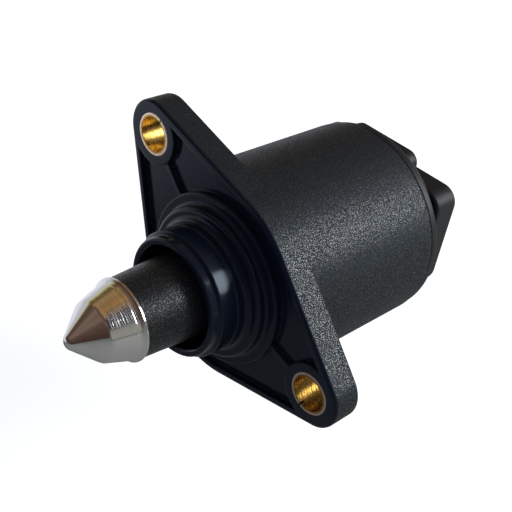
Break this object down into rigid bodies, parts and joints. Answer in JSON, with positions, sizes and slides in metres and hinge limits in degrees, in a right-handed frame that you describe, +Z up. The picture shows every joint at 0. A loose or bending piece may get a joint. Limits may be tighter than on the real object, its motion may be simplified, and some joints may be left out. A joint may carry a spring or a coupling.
{
  "type": "idle air control valve",
  "caption": "Idle air control valve: tapered metal pintle in a plastic nose, slanted two-hole flange with metal sleeves, round motor body and rear connector block.",
  "frame": {"origin": "on the valve axis, in the plane of the flange's front face", "axes": "+X along the valve axis from the tapered tip towards the connector; +Z up, with the connector's latch housing on top; +Y to the side of the upper mounting hole"},
  "size_m": [0.0723, 0.0552, 0.0428],
  "materials": {
    "housing": "moulded black glass-filled plastic, fine texture on the body and gloss on the nose",
    "cover": "satin black moulding",
    "plunger": "fine textured black",
    "tip": "turned and polished",
    "sleeve": "rolled, lightly tarnished",
    "terminal": "tin plated",
    "carrier": "natural moulding",
    "bearing": "sintered",
    "stator": "pressed and plated",
    "screw": "ground",
    "coil": "enamelled copper wire",
    "magnet": "moulded ferrite",
    "seal": "plain"
  },
  "bodies": {
    "valve_body": {"housing": "housing", "upper_sleeve": "sleeve", "lower_sleeve": "sleeve", "connector_cover": "cover", "cover_seal": "seal", "terminal_pins": "terminal", "terminal_carrier": "carrier", "guide_bush": "carrier", "front_bearing": "bearing", "rear_bearing": "bearing", "thrust_washer": "screw", "front_stator_cup": "stator", "front_stator_plate": "stator", "rear_stator_plate": "stator", "rear_stator_cup": "stator", "front_bobbin": "carrier", "rear_bobbin": "carrier", "front_coil": "coil", "rear_coil": "coil"},
    "rotor": {"rotor_magnet": "magnet", "rotor_hub": "carrier"},
    "pintle": {"lead_screw": "screw", "plunger": "plunger", "valve_tip": "tip"}
  },
  "joints": [
    {"name": "rotor_spin", "type": "hinge", "parent": "valve_body", "child": "rotor", "pos_m": [0.0155, 0, 0], "axis": [1, 0, 0], "range_deg": [-2880, 360]},
    {"name": "pintle_slide", "type": "slide", "parent": "valve_body", "child": "pintle", "axis": [1, 0, 0], "range_m": [-0.001, 0.008]}
  ],
  "couplings": [
    {"joint": "pintle_slide", "follows": "rotor_spin", "m_per_rad": -0.00015915}
  ]
}
